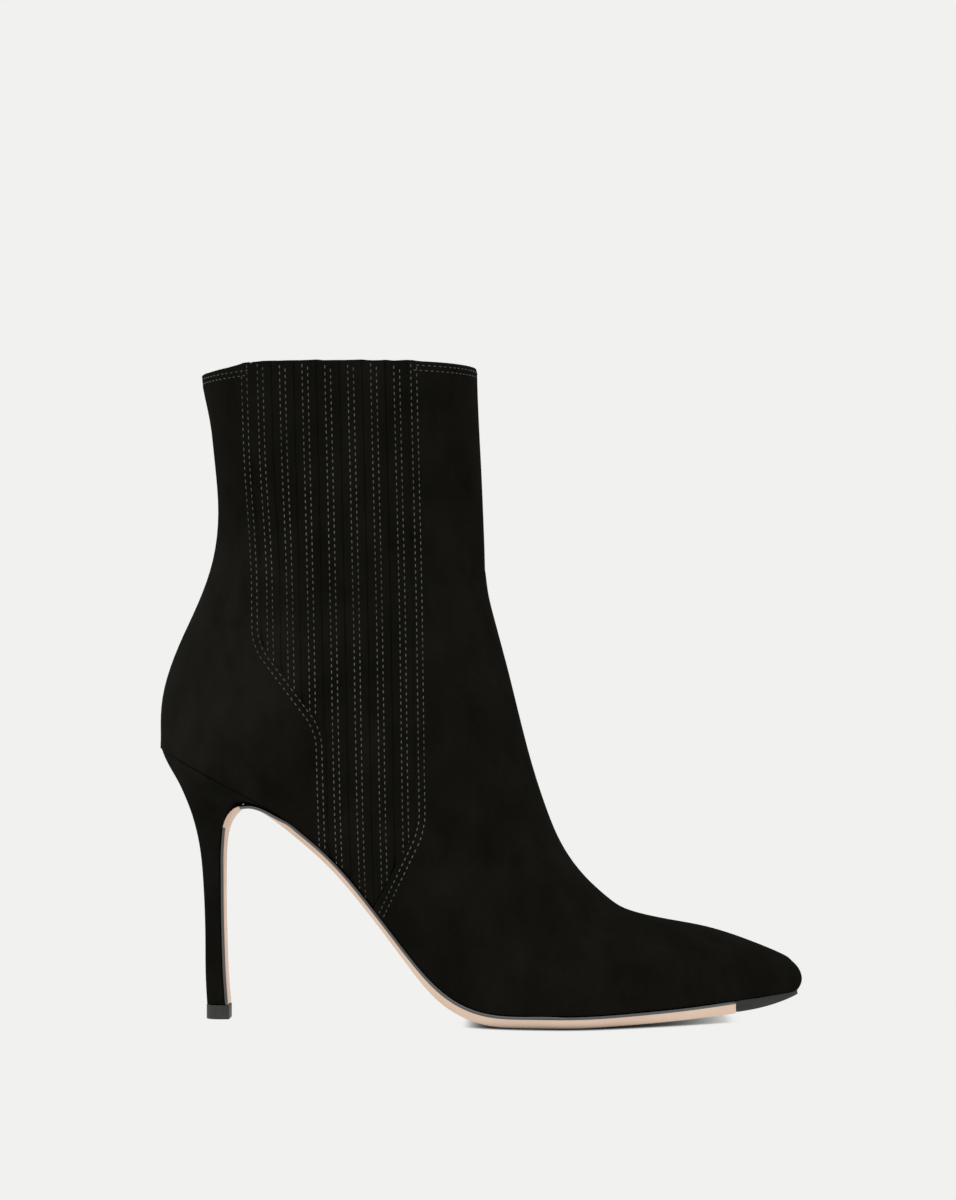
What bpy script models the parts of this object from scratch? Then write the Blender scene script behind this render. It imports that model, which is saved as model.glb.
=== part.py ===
"""Stiletto ankle bootie with a pointed toe, for the right foot, standing empty on its heel tip and the ball of its sole.

Metres, +Z up, the toe towards +X and the outer (lateral) side towards -Y. The origin is on the floor under
the middle of the bootie. Run it with: blender --background --python part.py
"""

import math

import bmesh
import bpy
import numpy as np
from mathutils import Vector

# Driving sizes of the last and the leg
shoe_length = 0.2327  # back of the counter to the point of the toe
heel_height = 0.0988  # floor to the seam at the back of the heel seat
shaft_rise = 0.1374  # that seam to the topline
toe_box_height = 0.0365  # floor to the top of the vamp, where the toe box ends
toe_spring = 0.0054  # rise of the sole's edge from the ball to the point of the toe
ball_width = 0.0744
waist_width = 0.0376
seat_width = 0.0508
foot_width = 0.0766  # the upper over the ball
instep_width = 0.0604  # the upper over the waist and round the counter
collar_width = 0.0700  # the shaft at its topline
heel_offset = 0.0020  # the heel's centre stands this far towards the inner side
toe_offset = 0.0040  # and so does the point of the toe

# Walls and clearances
upper_wall = 0.0024  # suede, stiffener and lining together
joint_gap = 0.0003  # between pieces that are cemented or stitched together
toe_puff_length = 0.0052  # the wall is this deep at the very point of the toe

# Stretch panel of each side: leather strips stitched side by side over the elastic
strip_count = 7
strip_thickness = 0.0009
strip_slit = 0.0006  # the slit that shows between two strips
strip_drop = 0.0001  # the strips lie this little below the suede round them
panel_back_share = 0.1483  # of the length, where the panel starts at the topline
panel_width_share = 0.2437
panel_lean = 0.020  # the strips lean forwards by this much of their height
panel_ankle_step = 0.0021  # round the ankle the back edge of the panel bends forwards by this much
panel_ankle_shares = (0.41, 0.78)  # of the shaft's rise, between which it bends
panel_ankle_lines = 2.6  # the bend has faded out this many strips from the back edge
panel_heel_corner = 0.271  # of the shaft's rise, where the strips start to end on the counter
panel_heel_end = 0.050  # and where the counter's edge turns down
panel_vamp_corner = 0.714  # of the heel's height, where the foremost strip ends on the vamp
strips_on_counter = 3
strips_on_vamp = 2

# Sole, heel and insole
sole_edge = 0.0011
sole_dome = 0.0039  # the tread is this much thicker in the middle than at its edge
sole_tread_share = 0.82  # the flat middle of the tread, as a share of its half-width
flap_dome = 0.0002  # the same, for the flap that runs down the breast of the heel
flap_thinning = 0.22  # the share of the breast line over which the sole thins to the flap
toe_tip_share = 0.892  # of the length, where the leather ends and the rubber tip begins
toe_tip_dome = 0.86  # the rubber tip's dome, as a share of the tread's, where it meets the leather
toe_tip_thinning = 2.2  # the power with which it thins to nothing at the point
heel_tip_height = 0.0051
heel_tip_lip = 0.0002  # the heel tip stands proud of the covered heel by this
stem_width = 0.0098
insole_thickness = 0.0018
insole_back_share = 0.016
insole_front_share = 0.965

LATERAL = -1
MEDIAL = 1
heel_back = -shoe_length / 2
collar_height = heel_height + shaft_rise
ball_lift = sole_edge + sole_dome + joint_gap


def table(columns, rows):
    """The rows' values by column name."""
    return {name: [row[i] for row in rows] for i, name in enumerate(columns.split())}


def eased(keys, values, at):
    """A smooth curve through the values that never swings past them (monotone cubic)."""
    keys = np.asarray(keys, float)
    values = np.asarray(values, float)
    at = min(max(at, keys[0]), keys[-1])
    i = int(min(np.searchsorted(keys, at, side="right") - 1, len(keys) - 2))
    steps = np.diff(keys)
    rates = np.diff(values) / steps

    def slope(k):
        if k == 0 or k == len(keys) - 1:
            return rates[0] if k == 0 else rates[-1]
        before, after = rates[k - 1], rates[k]
        if before * after <= 0:
            return 0.0
        w1 = 2 * steps[k] + steps[k - 1]
        w2 = steps[k] + 2 * steps[k - 1]
        return (w1 + w2) / (w1 / before + w2 / after)

    span = steps[i]
    f = (at - keys[i]) / span
    a, b = values[i], values[i + 1]
    return (
        a * (1 + 2 * f) * (1 - f) ** 2
        + b * f * f * (3 - 2 * f)
        + span * slope(i) * f * (1 - f) ** 2
        - span * slope(i + 1) * f * f * (1 - f)
    )


# The line where upper and sole meet, seen from the side. along is a share of the length from the back of the
# heel, rise a share of the heel's height over the ball, spring a share of the toe spring.
BOTTOM_LINE = table(
    "along rise spring",
    [
        (0.000, 1.000, 0.00),
        (0.076, 0.902, 0.00),
        (0.133, 0.829, 0.00),
        (0.184, 0.760, 0.00),
        (0.230, 0.674, 0.00),
        (0.276, 0.571, 0.00),
        (0.322, 0.437, 0.00),
        (0.368, 0.292, 0.00),
        (0.415, 0.150, 0.00),
        (0.438, 0.094, 0.00),
        (0.461, 0.053, 0.00),
        (0.484, 0.026, 0.00),
        (0.506, 0.010, 0.00),
        (0.545, 0.000, 0.00),
        (0.640, 0.000, 0.00),
        (0.710, 0.000, 0.08),
        (0.803, 0.000, 0.28),
        (0.899, 0.000, 0.60),
        (0.994, 0.000, 1.00),
    ],
)

# Half-width of the sole's outline as a share of the named width, and its centre as a share of the way from
# the heel's centre (0) past the ball's (1) to the toe's (2).
SOLE_OUTLINE = table(
    "along width share centre",
    [
        (0.142, seat_width, 0.500, 0.00),
        (0.180, seat_width, 0.492, 0.00),
        (0.215, seat_width, 0.460, 0.20),
        (0.266, waist_width, 0.548, 0.90),
        (0.318, waist_width, 0.500, 1.15),
        (0.370, waist_width, 0.516, 1.30),
        (0.421, ball_width, 0.312, 1.33),
        (0.473, ball_width, 0.387, 1.28),
        (0.524, ball_width, 0.449, 1.15),
        (0.580, ball_width, 0.489, 1.02),
        (0.632, ball_width, 0.500, 1.00),
        (0.679, ball_width, 0.482, 1.14),
        (0.731, ball_width, 0.436, 1.34),
        (0.786, ball_width, 0.366, 1.54),
        (0.842, ball_width, 0.288, 1.72),
        (0.899, ball_width, 0.204, 1.86),
        (0.994, ball_width, 0.200, 2.00),
    ],
)
heel_round_share = 0.142  # the back of the outline is half an ellipse this long
toe_round_share = 0.095  # the point of the toe rounds off over this length
toe_point_power = 0.58
nose_along = 0.994
waist_swing = 0.0030  # how far the waist's centre swings out past the ball's

# The back of the counter and shaft, seen from the side: up is a share of the shaft's rise.
BACK_LINE = table(
    "up along",
    [
        (0.000, 0.0010),
        (0.060, 0.0000),
        (0.139, 0.0034),
        (0.219, 0.0159),
        (0.299, 0.0361),
        (0.379, 0.0580),
        (0.459, 0.0755),
        (0.540, 0.0865),
        (0.610, 0.0894),
        (0.700, 0.0865),
        (0.780, 0.0818),
        (0.860, 0.0765),
        (0.940, 0.0700),
        (1.000, 0.0655),
    ],
)

# Sections of the upper, fanned from the point of the toe round the heel to the topline. edge says where a
# section starts: 0 to 1 runs along the bottom line from toe to heel, 1 to 2 up the back line. It ends on the
# front line at front (a share of the length) and height (0 to 1 up the toe box, 1 to 2 on to the topline).
# half is a share of the named width, widest the share of the section where it is widest, ridge the power
# that rounds its front, and lean how far the front is drawn to the inner side, as a share of the toe offset.
UPPER_SECTIONS = table(
    "edge front height width half widest ridge lean",
    [
        (0.006, 0.9900, 0.537, foot_width, 0.222, 0.38, 2.00, 0.0),
        (0.033, 0.9730, 0.632, foot_width, 0.226, 0.35, 2.00, 0.1),
        (0.089, 0.9200, 0.768, foot_width, 0.226, 0.32, 1.95, 0.2),
        (0.158, 0.8550, 0.902, foot_width, 0.312, 0.29, 1.90, 0.4),
        (0.226, 0.7910, 0.978, foot_width, 0.402, 0.27, 1.80, 0.6),
        (0.300, 0.7305, 1.012, foot_width, 0.468, 0.26, 1.70, 0.8),
        (0.368, 0.6815, 1.052, foot_width, 0.500, 0.25, 1.65, 0.9),
        (0.433, 0.6450, 1.098, foot_width, 0.492, 0.27, 1.65, 0.9),
        (0.497, 0.6190, 1.148, foot_width, 0.452, 0.31, 1.70, 0.8),
        (0.562, 0.5970, 1.213, foot_width, 0.410, 0.36, 1.75, 0.6),
        (0.630, 0.5760, 1.291, instep_width, 0.494, 0.42, 1.80, 0.4),
        (0.699, 0.5587, 1.369, instep_width, 0.488, 0.44, 1.85, 0.2),
        (0.777, 0.5415, 1.450, instep_width, 0.490, 0.44, 1.90, 0.0),
        (0.863, 0.5220, 1.535, instep_width, 0.494, 0.42, 1.95, 0.0),
        (0.957, 0.5105, 1.590, instep_width, 0.496, 0.42, 2.00, 0.0),
        (1.000, 0.5060, 1.633, instep_width, 0.498, 0.43, 2.05, 0.0),
        (1.060, 0.5045, 1.671, instep_width, 0.500, 0.45, 2.10, 0.0),
        (1.148, 0.5032, 1.711, instep_width, 0.502, 0.47, 2.10, 0.0),
        (1.266, 0.5015, 1.761, instep_width, 0.505, 0.48, 2.15, 0.0),
        (1.379, 0.4998, 1.807, collar_width, 0.440, 0.49, 2.20, 0.0),
        (1.493, 0.4976, 1.857, collar_width, 0.448, 0.50, 2.30, 0.0),
        (1.618, 0.4955, 1.907, collar_width, 0.462, 0.50, 2.40, 0.0),
        (1.743, 0.4940, 1.952, collar_width, 0.480, 0.50, 2.50, 0.0),
        (1.865, 0.4932, 1.978, collar_width, 0.492, 0.50, 2.55, 0.0),
        (2.000, 0.4925, 2.000, collar_width, 0.500, 0.50, 2.60, 0.0),
    ],
)
nose_bow = 0.0017  # the point of the toe bulges forwards by this between its sole and its top
nose_bow_sections = 2.0

# The top of the sole where it leaves the upper at the heel, turns down and runs to the heel tip as a flap.
# down is a share of the heel's height, and half the flap's half-width as a share of the named width.
BREAST_LINE = table(
    "along down width half",
    [
        (0.2080, 0.2710, waist_width, 0.602),
        (0.1860, 0.2430, seat_width, 0.474),
        (0.1650, 0.2180, seat_width, 0.476),
        (0.1470, 0.2085, seat_width, 0.462),
        (0.1310, 0.2120, seat_width, 0.425),
        (0.1180, 0.2270, seat_width, 0.350),
        (0.1066, 0.2570, seat_width, 0.245),
        (0.0996, 0.2940, seat_width, 0.172),
        (0.0962, 0.3440, stem_width, 0.620),
        (0.0946, 0.4160, stem_width, 0.520),
        (0.0948, 0.5630, stem_width, 0.460),
        (0.0962, 0.7090, stem_width, 0.445),
        (0.0984, 0.8380, stem_width, 0.455),
        (0.1020, 0.9455, stem_width, 0.475),
    ],
)

# Sections of the covered heel from its seat down to the heel tip. back and down place its back line,
# breast is the share of the breast line, half the half-width, and widest where the section is widest.
HEEL_SECTIONS = table(
    "back down breast width half widest",
    [
        (0.0052, 0.038, 0.120, seat_width, 0.488, 0.62),
        (0.0150, 0.082, 0.215, seat_width, 0.452, 0.60),
        (0.0262, 0.128, 0.310, seat_width, 0.384, 0.58),
        (0.0360, 0.178, 0.400, seat_width, 0.300, 0.56),
        (0.0450, 0.232, 0.480, seat_width, 0.222, 0.54),
        (0.0527, 0.292, 0.560, seat_width, 0.163, 0.54),
        (0.0590, 0.360, 0.640, stem_width, 0.680, 0.54),
        (0.0634, 0.440, 0.710, stem_width, 0.570, 0.55),
        (0.0668, 0.560, 0.775, stem_width, 0.510, 0.56),
        (0.0687, 0.700, 0.850, stem_width, 0.490, 0.56),
        (0.0692, 0.830, 0.920, stem_width, 0.490, 0.56),
        (0.0718, 0.945, 1.000, stem_width, 0.500, 0.56),
    ],
)

# Materials, as linear colours
suede_black = (0.010, 0.0095, 0.0080)
sole_nude = (0.69, 0.50, 0.40)
rubber_black = (0.030, 0.030, 0.027)
lining_nude = (0.60, 0.44, 0.33)


def clear_scene():
    for obj in list(bpy.data.objects):
        bpy.data.objects.remove(obj)


def material(name, colour, roughness):
    made = bpy.data.materials.new(name)
    made.use_nodes = True
    shader = made.node_tree.nodes["Principled BSDF"]
    shader.inputs["Base Color"].default_value = (*colour, 1)
    shader.inputs["Roughness"].default_value = roughness
    shader.inputs["Metallic"].default_value = 0.0
    return made


def x_at(along):
    return heel_back + along * shoe_length


def bottom_height(along):
    rise = eased(BOTTOM_LINE["along"], BOTTOM_LINE["rise"], along)
    spring = eased(BOTTOM_LINE["along"], BOTTOM_LINE["spring"], along)
    return ball_lift + (heel_height - ball_lift) * rise + toe_spring * spring


def toe_rounding(along):
    left = max(0.0, (nose_along - along) / toe_round_share)
    return min(1.0, left) ** toe_point_power


def heel_rounding(along):
    left = 1 - min(1.0, max(0.0, along) / heel_round_share)
    return math.sqrt(1 - left * left)


def sole_half_width(along):
    widths = [w * s for w, s in zip(SOLE_OUTLINE["width"], SOLE_OUTLINE["share"])]
    plain = eased(SOLE_OUTLINE["along"], widths, along)
    return plain * toe_rounding(along) * heel_rounding(along)


def sole_centre(along):
    """The centre line swings from the heel's centre out to the waist and ball, and in again to the toe."""
    swing = eased(SOLE_OUTLINE["along"], SOLE_OUTLINE["centre"], along)
    if swing <= 1:
        return heel_offset * (1 - swing)
    if along < 0.632:
        return -waist_swing * (swing - 1)
    return toe_offset * (swing - 1)


def edge_point(edge):
    """Along the bottom line from the toe (0) to the heel (1), then up the back line to the topline (2)."""
    if edge <= 1:
        along = 1 - edge
        return np.array([x_at(along), bottom_height(along)])
    along = eased(BACK_LINE["up"], BACK_LINE["along"], edge - 1)
    return np.array([x_at(along), heel_height + shaft_rise * (edge - 1)])


def front_height(height):
    leg = collar_height - toe_box_height
    return toe_box_height * min(height, 1) + leg * max(height - 1, 0)


class Section:
    """One section of the upper: a straight line from start to end in the side view, with its widths."""

    def __init__(self, at):
        rows = UPPER_SECTIONS
        index = range(len(rows["edge"]))
        edge = eased(index, rows["edge"], at)
        halves = [w * h for w, h in zip(rows["width"], rows["half"])]
        heights = [front_height(h) for h in rows["height"]]
        along = 1 - min(edge, 1)
        self.edge = edge
        self.start = edge_point(edge)
        self.end = np.array([x_at(eased(index, rows["front"], at)), eased(index, heights, at)])
        self.half = eased(index, halves, at) * toe_rounding(along)
        self.foot_half = sole_half_width(along) if edge < 1 else 0.0
        self.widest = eased(index, rows["widest"], at)
        self.ridge = eased(index, rows["ridge"], at)
        self.centre = sole_centre(along)
        self.lean = eased(index, rows["lean"], at) * toe_offset
        self.bow = nose_bow * max(0.0, 1 - at / nose_bow_sections)

    def reach(self, t):
        """Half-width at the share t of the section."""
        if t <= 0:
            return self.foot_half
        if t < self.widest:
            left = 1 - t / self.widest
            swell = self.half**2 - self.foot_half**2
            return math.sqrt(self.foot_half**2 + swell * (1 - left ** max(2.0, self.ridge)))
        over = min(1.0, (t - self.widest) / (1 - self.widest))
        return self.half * math.sqrt(max(0.0, 1 - over**self.ridge))

    def point(self, t, side):
        line = self.end - self.start
        x, z = self.start + line * t
        x += self.bow * 4 * t * (1 - t)
        y = self.centre + side * self.reach(t) + self.lean * max(t, 0.0) ** 2
        return Vector((x, y, z))


last_section = len(UPPER_SECTIONS["edge"]) - 1
corner_section = UPPER_SECTIONS["edge"].index(1.000)
search_positions = np.linspace(0, last_section, 8 * last_section + 1)
search_sections = [Section(at) for at in search_positions]
search_starts = np.array([s.start for s in search_sections])
search_lines = np.array([s.end - s.start for s in search_sections])


def surface_point(at, t, side, lift):
    """A point of the upper's outer surface, moved out along the surface's normal by lift."""
    reach_s, reach_t = 0.05, 0.01
    section = Section(at)
    here = section.point(t, side)
    if not lift:
        return here
    low_s, high_s = max(at - reach_s, 0), min(at + reach_s, last_section)
    across = Section(high_s).point(t, side) - Section(low_s).point(t, side)
    up = section.point(t + reach_t, side) - section.point(max(t - reach_t, 0.002), side)
    normal = across.cross(up).normalized()
    if normal.y * side < 0:
        normal.negate()
    return here + normal * lift


def side_point(x, z, side, lift):
    """The point of the upper's surface that is seen at x and z from its side."""
    over = max(0.0, z - collar_height)
    seen = np.array([x, z - over])
    offsets = seen - search_starts
    turn = search_lines[:, 0] * offsets[:, 1] - search_lines[:, 1] * offsets[:, 0]
    turn = turn / np.linalg.norm(search_lines, axis=1)
    passed = np.nonzero(turn[:-1] * turn[1:] <= 0)[0]
    if len(passed):
        i = passed[-1]
        share = turn[i] / (turn[i] - turn[i + 1]) if turn[i] != turn[i + 1] else 0.0
        at = search_positions[i] + share * (search_positions[i + 1] - search_positions[i])
    else:
        at = last_section
    section = Section(at)
    line = section.end - section.start
    t = float((seen - section.start) @ line / (line @ line))
    found = surface_point(at, t, side, lift)
    found.z += over
    return found


def new_object(name, bm, finish):
    bmesh.ops.recalc_face_normals(bm, faces=bm.faces)
    if bm.calc_volume(signed=True) < 0:
        bmesh.ops.reverse_faces(bm, faces=bm.faces)
    mesh = bpy.data.meshes.new(name)
    bm.to_mesh(mesh)
    bm.free()
    mesh.materials.append(finish)
    mesh.shade_smooth()
    mesh.set_sharp_from_angle(angle=math.radians(40))
    obj = bpy.data.objects.new(name, mesh)
    bpy.context.scene.collection.objects.link(obj)
    return obj


def grid_solid(bm, top, bottom):
    """A closed solid between two grids of points of the same size."""
    tops = [[bm.verts.new(p) for p in row] for row in top]
    bottoms = [[bm.verts.new(p) for p in row] for row in bottom]
    rows, columns = len(tops), len(tops[0])
    for i in range(rows - 1):
        for j in range(columns - 1):
            bm.faces.new((tops[i][j], tops[i + 1][j], tops[i + 1][j + 1], tops[i][j + 1]))
            bm.faces.new((bottoms[i][j], bottoms[i][j + 1], bottoms[i + 1][j + 1], bottoms[i + 1][j]))
    for i in range(rows - 1):
        for j in (0, columns - 1):
            bm.faces.new((tops[i][j], tops[i + 1][j], bottoms[i + 1][j], bottoms[i][j]))
    for j in range(columns - 1):
        for i in (0, rows - 1):
            bm.faces.new((tops[i][j], tops[i][j + 1], bottoms[i][j + 1], bottoms[i][j]))


# Upper
ring_low = 5  # faces of a half section below its widest point
ring_high = 8  # and above it
nose_steps = 4
puff_step = 3  # the section of the nose where the hollow begins
corner_steps = 3
fine_sections = (5, 14)  # two steps to each section here, where the bottom line bends


def upper_positions():
    """Where the sections are cut: close together where the outline rounds off or the profile bends."""
    made = [(i / nose_steps) ** 2 for i in range(nose_steps)]
    for i in range(1, last_section):
        if i == corner_section - 1:
            made += [i + 1 - (1 - k / corner_steps) ** 2 for k in range(corner_steps)]
        elif fine_sections[0] <= i < fine_sections[1]:
            made += [i, i + 0.5]
        else:
            made.append(i)
    return made + [last_section]


def bottom_stations(low, high):
    """The shares of the length between low and high at which the upper is cut, so that the facets of what
    meets it there match, from the toe back."""
    alongs = [1 - Section(at).edge for at in upper_positions() if at <= corner_section]
    return [along for along in alongs if low < along < high]


def ring_shares(section):
    """The shares of a section at which its half ring has points, from sole or back to front."""
    low = [
        section.widest * (1 - math.cos(math.pi / 2 * i / ring_low)) for i in range(ring_low)
    ]
    high = [
        section.widest
        + (1 - section.widest) * math.sin(math.pi / 2 * i / ring_high) ** (2 / section.ridge)
        for i in range(ring_high + 1)
    ]
    return low + high


def inward_in_plane(normal, plane_normal):
    flat = normal - plane_normal * normal.dot(plane_normal)
    return -flat.normalized()


def make_upper(finish):
    bm = bmesh.new()
    positions = upper_positions()
    sections = [Section(at) for at in positions]
    half = ring_low + ring_high
    outer = []
    for i, section in enumerate(sections):
        shares = ring_shares(section)
        lateral = [bm.verts.new(section.point(t, LATERAL)) for t in shares]
        if i == 0:
            medial = lateral
        else:
            medial = [bm.verts.new(section.point(t, MEDIAL)) for t in shares[:-1]]
            if section.edge >= 1:
                bm.verts.remove(medial[0])
                medial[0] = lateral[0]
            medial.append(lateral[-1])
        outer.append(lateral + medial[-2::-1])
    for i in range(len(outer) - 1):
        for k in range(2 * half):
            bm.faces.new((outer[i][k], outer[i][k + 1], outer[i + 1][k + 1], outer[i + 1][k]))
    bmesh.ops.recalc_face_normals(bm, faces=bm.faces)
    bm.normal_update()
    if outer[-2][half].normal.x < 0:
        bmesh.ops.reverse_faces(bm, faces=bm.faces)
        bm.normal_update()

    top = sections[-1].end - sections[-1].start
    topline_normal = Vector((-top[1], 0, top[0])).normalized()
    inner = {}
    for i in range(puff_step, len(outer)):
        ring = []
        along = 1 - min(sections[i].edge, 1)
        step = 0.004
        slope = (bottom_height(along + step) - bottom_height(along - step)) / (2 * step * shoe_length)
        sole_normal = Vector((-slope, 0, 1)).normalized()
        for k, vert in enumerate(outer[i]):
            if k == 2 * half and sections[i].edge >= 1:
                ring.append(ring[0])
                continue
            inward = -vert.normal
            on_sole = k in (0, 2 * half) and sections[i].edge <= 1
            if on_sole:
                inward = inward_in_plane(vert.normal, sole_normal)
            elif i == len(outer) - 1:
                inward = inward_in_plane(vert.normal, topline_normal)
            elif sections[i].edge > 1 and k == 0:
                inward = Vector((-vert.normal.x, 0, -vert.normal.z)).normalized()
            ring.append(bm.verts.new(vert.co + inward * upper_wall))
        inner[i] = ring
    for i in range(puff_step, len(outer) - 1):
        for k in range(2 * half):
            bm.faces.new((inner[i][k], inner[i + 1][k], inner[i + 1][k + 1], inner[i][k + 1]))
        if sections[i].edge < 1:
            for k in (0, 2 * half):
                bm.faces.new((outer[i][k], inner[i][k], inner[i + 1][k], outer[i + 1][k]))
    for k in range(2 * half):
        bm.faces.new((outer[-1][k], outer[-1][k + 1], inner[len(outer) - 1][k + 1], inner[len(outer) - 1][k]))

    cap = inner[puff_step]
    for k in range(half - 1):
        bm.faces.new((cap[k], cap[k + 1], cap[2 * half - k - 1], cap[2 * half - k]))
    bm.faces.new((cap[half - 1], cap[half], cap[half + 1]))
    bm.faces.new((outer[0][0], outer[1][0], outer[1][2 * half]))
    for i in range(1, puff_step - 1):
        bm.faces.new((outer[i][0], outer[i + 1][0], outer[i + 1][2 * half], outer[i][2 * half]))
    last = puff_step - 1
    bm.faces.new((outer[last][0], cap[0], cap[2 * half], outer[last][2 * half]))
    bm.faces.new((outer[last][0], outer[puff_step][0], cap[0]))
    bm.faces.new((outer[last][2 * half], cap[2 * half], outer[puff_step][2 * half]))
    return new_object("upper", bm, finish)


# Stretch panels
panel_depth = strip_drop + strip_thickness + joint_gap
panel_rows_above = 8  # rows of points from the topline to the counter's edge
panel_rows_between = 6  # along the counter's edge
panel_row_shares = (0.18, 0.36, 0.53, 0.68, 0.80, 0.89, 0.955)  # and from there down to the sole
least_row = 0.0008
cutter_overrun = 0.004
counter_corner = heel_height + shaft_rise * panel_heel_corner
counter_end = heel_height + shaft_rise * panel_heel_end


def ease(share):
    """0 up to 0 and 1 from 1 on, and smooth between them."""
    share = min(max(share, 0.0), 1.0)
    return share * share * (3 - 2 * share)


def slit_x(number, z):
    """The line between two strips, numbered from the back of the panel."""
    pitch = panel_width_share * shoe_length / strip_count
    low, high = (heel_height + shaft_rise * share for share in panel_ankle_shares)
    bend = ease((high - z) / (high - low)) * (1 - ease(number / panel_ankle_lines))
    straight = x_at(panel_back_share) + number * pitch + panel_lean * (collar_height - z)
    return straight + panel_ankle_step * bend


def panel_foot(number):
    """The height at which a line between two strips reaches the sole."""
    z = counter_end
    for _ in range(12):
        z = bottom_height((slit_x(number, z) - heel_back) / shoe_length)
    return z


def strip_end(number, strip):
    """The height at which a strip ends: on the counter's edge, on the sole or on the vamp's edge."""
    first = strip_count - strips_on_vamp
    if strip < strips_on_counter:
        return counter_corner + (counter_end - counter_corner) * number / strips_on_counter
    if strip < first:
        return panel_foot(number)
    low = panel_foot(first)
    return low + (heel_height * panel_vamp_corner - low) * (number - first) / strips_on_vamp


def panel_column(number, strip, clear):
    """The heights of the points down a strip, from the topline to its end."""
    above = np.linspace(collar_height - clear, counter_corner, panel_rows_above + 1)
    between = np.linspace(counter_corner, counter_end, panel_rows_between + 1)[1:]
    below = [counter_end + (panel_foot(number) - counter_end) * share for share in panel_row_shares]
    lies_flat = strip == strip_count - strips_on_vamp
    end = strip_end(number, strip) + clear * (6 if lies_flat else 1)
    return [z for z in (*above, *between, *below) if z > end + least_row] + [end]


def panel_sheet(bm, numbers, side, lift, clear, overrun):
    """The faces of the panel between these numbers, on the upper's surface or below or above it."""
    made = {}
    faces = []

    def vert(number, z):
        if (number, z) not in made:
            made[number, z] = bm.verts.new(side_point(slit_x(number, z), z, side, lift))
        return made[number, z]

    def column(number, strip):
        heights = panel_column(number, strip, clear)
        verts = [vert(number, z) for z in heights]
        if overrun and strips_on_counter <= strip < strip_count - strips_on_vamp:
            if (number, "past") not in made:
                past = verts[-1].co - Vector((0, side * overrun, 0))
                made[number, "past"] = bm.verts.new(past)
            verts.append(made[number, "past"])
        if overrun:
            verts.insert(0, vert(number, collar_height + overrun))
        return verts

    for number, following in zip(numbers, numbers[1:]):
        strip = int((number + following) / 2)
        left, right = column(number, strip), column(following, strip)
        even = min(len(left), len(right))
        for i in range(even - 1):
            faces.append((left[i], left[i + 1], right[i + 1], right[i]))
        longer, end = (left, right[-1]) if len(left) > even else (right, left[-1])
        for i in range(even - 1, len(longer) - 1):
            faces.append((longer[i], longer[i + 1], end))
    return list(made.values()), faces


def panel_solid(name, numbers, side, lifts, clear, overrun, finish):
    """A solid over the panel between these numbers, from one depth below the surface to another."""
    bm = bmesh.new()
    outer, faces = panel_sheet(bm, numbers, side, lifts[0], clear, overrun)
    inner, _ = panel_sheet(bm, numbers, side, lifts[1], clear, overrun)
    below = dict(zip(outer, inner))
    for corners in faces:
        bm.faces.new(corners)
    for edge in [edge for edge in bm.edges if edge.is_boundary]:
        a, b = edge.verts
        bm.faces.new((a, b, below[b], below[a]))
    for corners in faces:
        bm.faces.new([below[corner] for corner in reversed(corners)])
    return new_object(name, bm, finish)


def make_strip(name, number, side, finish):
    """One leather strip, from the topline down to where the panel ends."""
    inset = strip_slit / 2 / (panel_width_share * shoe_length / strip_count)
    numbers = (number + inset, number + 0.5, number + 1 - inset)
    lifts = (-strip_drop, -strip_drop - strip_thickness)
    return panel_solid(name, numbers, side, lifts, joint_gap, 0, finish)


def make_panel_cutter(name, side, finish):
    """What is taken out of the upper's wall so that the strips lie in it."""
    numbers = [i / 2 for i in range(2 * strip_count + 1)]
    cutter = panel_solid(name, numbers, side, (cutter_overrun, -panel_depth), 0, cutter_overrun, finish)
    cutter.hide_render = True
    cutter.display_type = "WIRE"
    return cutter


def cut(obj, cutter):
    modifier = obj.modifiers.new("recess for " + cutter.name, "BOOLEAN")
    modifier.operation = "DIFFERENCE"
    modifier.solver = "EXACT"
    modifier.object = cutter


# Sole, rubber toe tip and heel
sole_rounding = (0.40, 0.75)  # points down the rounded rim, as shares of the way from the tread to the edge
heel_seat_share = 0.213  # the sole leaves the upper here, to turn down the heel
heel_seat_front = 0.184  # and the heel's seat ends here


class SoleStation:
    """A place on the sole's path: the top of the leather, the way its underside faces, and its widths."""

    def __init__(self, place, facing, half, centre, edge, dome):
        self.place = place
        self.facing = facing
        self.half = half
        self.centre = centre
        self.edge = edge
        self.dome = dome

    def rows(self):
        """The top and bottom points across the sole here."""
        rim = [sole_tread_share + (1 - sole_tread_share) * share for share in (*sole_rounding, 1)]
        half = [sole_tread_share / 2, sole_tread_share, *rim]
        top, bottom = [], []
        for across in [-share for share in reversed(half)] + [0.0] + half:
            over = max(0.0, (abs(across) - sole_tread_share) / (1 - sole_tread_share))
            thickness = self.edge + self.dome * (1 - over * over)
            low = self.place + self.facing * thickness
            y = self.centre + self.half * across
            top.append(Vector((self.place[0], y, self.place[1])))
            bottom.append(Vector((low[0], y, low[1])))
        return top, bottom


def bottom_normal(along):
    """The way the bottom line faces down, in the side view."""
    step = 0.004
    high, low = min(along + step, nose_along), max(along - step, 0)
    rise = bottom_height(high) - bottom_height(low)
    run = (high - low) * shoe_length
    length = math.hypot(rise, run)
    return np.array([rise / length, -run / length])


def sole_station(along, dome):
    facing = bottom_normal(along)
    place = np.array([x_at(along), bottom_height(along)]) + facing * joint_gap
    return SoleStation(place, facing, sole_half_width(along), sole_centre(along), sole_edge, dome)


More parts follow.
